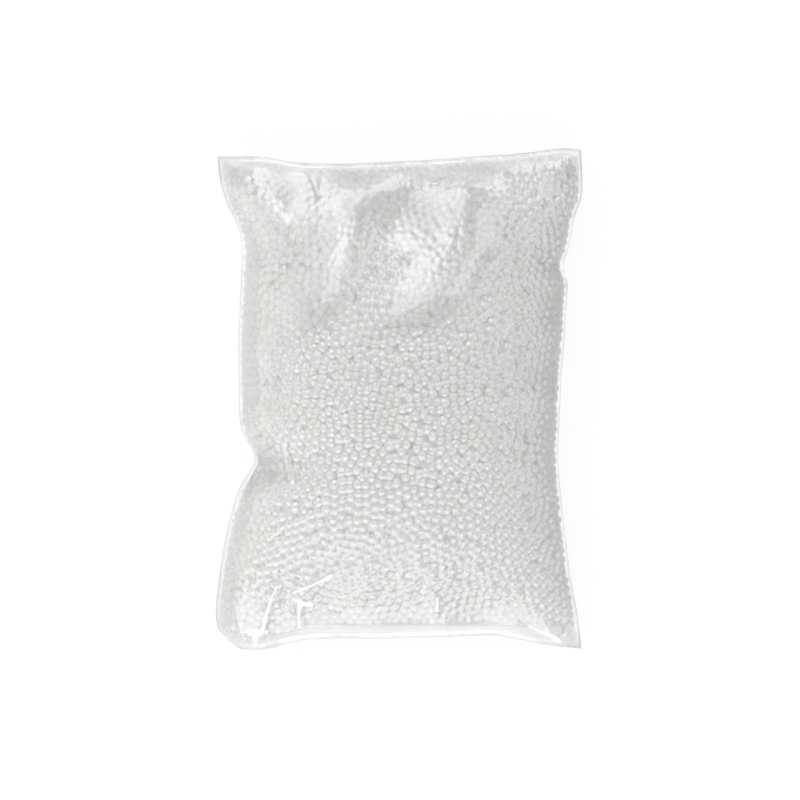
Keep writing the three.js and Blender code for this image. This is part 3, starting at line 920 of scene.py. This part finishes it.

# %% [markdown]
# ## Haze and clearness
# Rubbing beads leave the film hazy. The film is tinted darker in the ears and at the top weld, and a
# painted shadow darkens it along the fold of the pinch. The strips along both sides hold no beads; there
# the film is made clearer and less hazy, which paints them lighter than the bag's shade on the floor
# leaves them.

# %% Lightened margins, darker ears and the painted fold shadow
MARGIN_FROM, MARGIN_TO = 0.95, 0.98
MARGIN_FADE_FROM, MARGIN_FADE_TO = 0.6, 0.8
EAR_FADE_ACROSS, EAR_FADE_ALONG = 0.12, 0.1
WELD_DULL, WELD_FROM, WELD_TO = 0.46, 0.96, 0.985
# Painted shadow along the fold of the pinch: from, to (x, y) and half width at both ends, in millimetres
PINCH_FOLD_SHADE = (-78.5, -33), (-86.5, -55), 2.2, 1.8
# Each ear: to the right or left, up or down, where it starts across and along, and how dull it is
EARS = [(-1, 1, 0.82, 0.85, 1), (1, 1, 0.8, 0.84, 0.92), (1, -1, 0.82, 0.88, 1), (-1, -1, 0.86, 0.82, 0.46)]


def side_margin(u, v):
    """1 on the strip of film along both sides, and 0 elsewhere and towards the corners, by soft steps."""
    corners = soft_step(np.abs(v), MARGIN_FADE_FROM, MARGIN_FADE_TO)
    return soft_step(np.abs(u), MARGIN_FROM, MARGIN_TO) * (1 - corners)


def ear(right, up, start_u, start_v, dullness):
    """The dullness in one corner of the front, and 0 away from it, by a soft step across and one along."""
    across = soft_step(right * film_u, start_u, start_u + EAR_FADE_ACROSS)
    return dullness * (across * soft_step(up * film_v, start_v, start_v + EAR_FADE_ALONG))


# Side strips of film that are painted lighter by more clearness and less haze
lightened_margin, rear_lightened_margin = side_margin(film_u, film_v), side_margin(rear_u, rear_v)
weld = WELD_DULL * soft_step(film_v, WELD_FROM, WELD_TO)
# Darker tint in the ears and at the top weld, and the painted shadow along the pinch fold
tint_and_fold_shade = np.maximum(sum(ear(*corner) for corner in EARS), weld) + streak(*film_mm, *PINCH_FOLD_SHADE)
print("dull share of the front", (tint_and_fold_shade > 0).mean())

# %% Give the film its three values
HAZE, HAZE_LOST = 0.25, 0.2
FACE_CLEAR, MARGIN_CLEAR = 0.72, 0.28


def carry(name, front, rear):
    """Store a value at the film's points: those of the front grid, then those of the rear one."""
    values = np.concatenate([front.ravel(), rear.ravel()])
    attribute = bag_film.data.attributes.new(name, "FLOAT", "POINT")
    attribute.data.foreach_set("value", values.astype(np.float32))


# The film's painted glints, and the painted sheen above the bottom weld
carry("painted_glint_and_sheen", painted_glint_and_sheen, 0 * rear_u)
# Less haze and more clearness on the side strips paint them lighter; the clearness also carries the darker
# ears and the painted fold shadow
carry("haze", HAZE - HAZE_LOST * lightened_margin, HAZE - HAZE_LOST * rear_lightened_margin)
carry("clearness", FACE_CLEAR * (1 - tint_and_fold_shade) + MARGIN_CLEAR * lightened_margin, FACE_CLEAR + MARGIN_CLEAR * rear_lightened_margin)
print("film carries", [a.name for a in bag_film.data.attributes if a.data_type == "FLOAT"])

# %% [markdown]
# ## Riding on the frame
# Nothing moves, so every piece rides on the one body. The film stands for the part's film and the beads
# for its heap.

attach(bag_film, "root")
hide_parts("bag_film")
for piece in bead_pieces + [heap_core]:
    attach(piece, "root")
    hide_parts("bead_fill")

# %% [markdown]
# ## Floor
# The bag lies on white that has hardly any shadow, while a plain white floor would look grey and take a
# dark one. So to the eye, to mirrors and to light that has soaked through a piece it glows nearly white,
# and to the rest it is a pale surface, which takes what shadow is left.

# %% White floor
FLOOR_HALF, FLOOR_DROP = 4, 0.2 * MM
FLOOR_COLOUR, FLOOR_LIFT = (0.85, 0.85, 0.85, 1), 0.93


def floor_finish():
    """Pale surface mixed with a white glow, by a share of the greatest of the three kinds of ray."""
    material, tree, surface = new_material("floor_white")
    pale = tree.nodes["Principled BSDF"]
    pale.inputs["Base Color"].default_value = FLOOR_COLOUR
    pale.inputs["Roughness"].default_value = 0.9
    glow = node(tree, "ShaderNodeEmission", Color=(1, 1, 1, 1), Strength=1.0)
    path = tree.nodes.new("ShaderNodeLightPath")
    either, seen = maths_node(tree, "MAXIMUM"), maths_node(tree, "MAXIMUM")
    weight = maths_node(tree, "MULTIPLY", FLOOR_LIFT)
    mix = tree.nodes.new("ShaderNodeMixShader")
    connect(
        tree,
        (path.outputs["Is Camera Ray"], either.inputs[0]),
        (path.outputs["Is Glossy Ray"], either.inputs[1]),
        (either.outputs["Value"], seen.inputs[0]), (path.outputs["Is Transmission Ray"], seen.inputs[1]),
        (seen.outputs["Value"], weight.inputs[0]), (weight.outputs["Value"], mix.inputs["Fac"]),
        (pale.outputs["BSDF"], mix.inputs[1]), (glow.outputs["Emission"], mix.inputs[2]),
        (mix.outputs["Shader"], surface))
    return material


floor_corners = np.array([(-1, -1, 0), (1, -1, 0), (1, 1, 0), (-1, 1, 0)], dtype=float) * FLOOR_HALF
floor = add_piece("floor", floor_corners - (0, 0, FLOOR_DROP), np.array([[0, 1, 2, 3]]), floor_finish())
print("floor", 2 * FLOOR_HALF, "metres wide")

# %% [markdown]
# ## Fill lamps and cards
# The beads show the light of the room, and the film shows pictures of it. One set of lamps would tie the
# two together, so there are two kinds. Fill lamps light the scene and are hidden from mirrors. Cards only
# shine back off the pieces linked to them, like the white boards that a studio hangs up for their mirror
# images.

# %% Kinds of lamp


def soft_light(name, place, target, width, height, strength):
    """Rectangular lamp that looks from place to target. Its power is its strength times pi times its area,
    so lamps of one strength look equally bright at any size."""
    lamp = bpy.data.lights.new(name, "AREA")
    lamp.shape = "RECTANGLE"
    lamp.size, lamp.size_y = width, height
    lamp.energy = strength * np.pi * width * height
    holder = bpy.data.objects.new(name, lamp)
    way = np.array(target, dtype=float) - np.array(place, dtype=float)
    holder.rotation_euler = Vector(way).to_track_quat("-Z", "Y").to_euler()
    holder.location = place
    bpy.context.scene.collection.objects.link(holder)
    return holder


def fill(name, place, width, height, strength):
    """Lamp that lights the middle of the scene and is not seen in mirrors."""
    soft_light(name, place, (0, 0, 0), width, height, strength).visible_glossy = False


def card(name, place, target, width, height, strength, pieces):
    """Lamp that only shines back off the given pieces, by light linking."""
    holder = soft_light(name, place, target, width, height, strength)
    holder.visible_diffuse = False
    holder.visible_transmission = False
    group = bpy.data.collections.new(name)
    for piece in pieces:
        group.objects.link(piece)
    holder.light_linking.receiver_collection = group


print("lamp helpers ready")

# %% Lamps of the room
# Each lamp: place, for a card its target, width and height in metres, and strength
fill("window", (-0.9, 0.9, 1.3), 1.2, 1.2, 3.75)
fill("left", (-1.4, 0.0, 0.45), 1.2, 0.7, 1.8)
fill("key", (0.0, -1.3, 0.9), 1.6, 0.9, 3.75)
card("bead_card", (-0.1, -1.4, 0.74), (-0.1, 0, 0), 2.4, 0.4, 10.0, bead_pieces)
card("far_card", (0, 3.0, 0.3), (0, 0, 0.3), 5.0, 0.6, 1.4, [bag_film])
print("lamps", [light.name for light in bpy.data.lights])

# %% [markdown]
# ## Cards over the film
# A tilted patch of film mirrors one place of a level sheet above the bag. So the bright patches of the
# film are set by laying cards side by side on that sheet. Those beyond the bag's top and left light the
# two waves of slack, those to the right light the right flank, and the wide one beyond the bag's bottom
# puts a small dash of light on every bump.

# %% Level cards
CARD_HEIGHT = 0.9
# Each card: left, right, bottom and top edge in metres, on the bag's own axes, and strength
CARDS = [
    (-0.95, -0.35, 1.1, 5.0, 4.2), (-0.35, -0.06, 1.9, 5.0, 4.2), (-0.35, -0.06, 0.95, 1.9, 2.4),
    (-0.95, -0.4, 0.46, 1.1, 1.4), (-0.4, -0.06, 0.58, 0.95, 5.0), (-0.4, 0.1, 0.2, 0.46, 2.4),
    (-0.4, 0.05, 0.46, 0.58, 2.4), (-0.06, 0.42, 1.7, 5.0, 3.2), (1.0, 1.9, 1.25, 1.75, 1.5),
    (0.95, 2.2, 1.75, 5.0, 5.0), (0.3, 1.1, 0.8, 1.25, 2.4), (0.3, 0.9, 0.4, 0.8, 2.0),
    (0.27, 0.6, 0.12, 0.4, 2.6), (0.05, 0.16, 0.44, 0.66, 2.6), (-5.0, -1.1, -0.5, 1.1, 1.3),
    (-1.1, -0.75, -0.5, 0.46, 0.9), (1.0, 5.0, -0.9, 0.8, 1.8), (0.55, 1.0, -0.6, 0.1, 0.7),
    (-1.6, 0.7, -5.0, -0.5, 2.5),
]
for number, (left, right, bottom, top, strength) in enumerate(CARDS):
    x, y = (left + right) / 2, (bottom + top) / 2
    place, below = (x, y, CARD_HEIGHT), (x, y, 0)
    card(f"film_card_{number}", place, below, right - left, top - bottom, strength, [bag_film])
print(len(bpy.data.lights), "lamps in all")

# %% [markdown]
# ## World
# An even grey world fills the shade, and the camera sees it as plain white. It is white to the camera
# only: light that soaks through the beads counts as transmitted, so a world that was white to that too
# would light them from every side.

# %% Grey world, white to the camera
WORLD_GREY = 0.65


def studio_world():
    """White background whose strength is a grey level, or one for rays that come from the camera."""
    world = bpy.data.worlds.new("studio")
    world.use_nodes = True
    tree = world.node_tree
    background = tree.nodes["Background"]
    background.inputs["Color"].default_value = (1, 1, 1, 1)
    path = tree.nodes.new("ShaderNodeLightPath")
    level = node(tree, "ShaderNodeMapRange", To_Min=WORLD_GREY, To_Max=1.0)
    connect(
        tree,
        (path.outputs["Is Camera Ray"], level.inputs["Value"]),
        (level.outputs["Result"], background.inputs["Strength"]))
    return world


bpy.context.scene.world = studio_world()
print("world", bpy.context.scene.world.name)

# %% [markdown]
# ## Camera
# The picture is taken from straight above with a long lens, so the frame's width at the bag's edge sets
# the distance. Light in a white heap is passed on from bead to bead dozens of times, so many bounces are
# allowed, or the beads would turn grey. The Standard view keeps white as white.

# %% Camera and bounces
PICTURE_PIXELS, BAG_PIXELS = 800, 368.5
CAMERA_X, CAMERA_Y = 0.3 * MM, -0.6 * MM
FRAME_WIDTH = PICTURE_PIXELS * BAG_WIDTH / BAG_PIXELS
camera_data = bpy.data.cameras.new("camera")
camera_data.lens = 100
camera_data.sensor_width = 36
camera = bpy.data.objects.new("camera", camera_data)
distance = FRAME_WIDTH * camera_data.lens / camera_data.sensor_width
camera.location = (CAMERA_X, CAMERA_Y, EDGE_HEIGHT + distance)
bpy.context.scene.collection.objects.link(camera)
bpy.context.scene.camera = camera
bpy.context.scene.view_settings.view_transform = "Standard"

cycles = bpy.context.scene.cycles
cycles.max_bounces = 64
cycles.diffuse_bounces = 48
cycles.transmission_bounces = 48
cycles.transparent_max_bounces = 16
print("camera", tuple(camera.location))
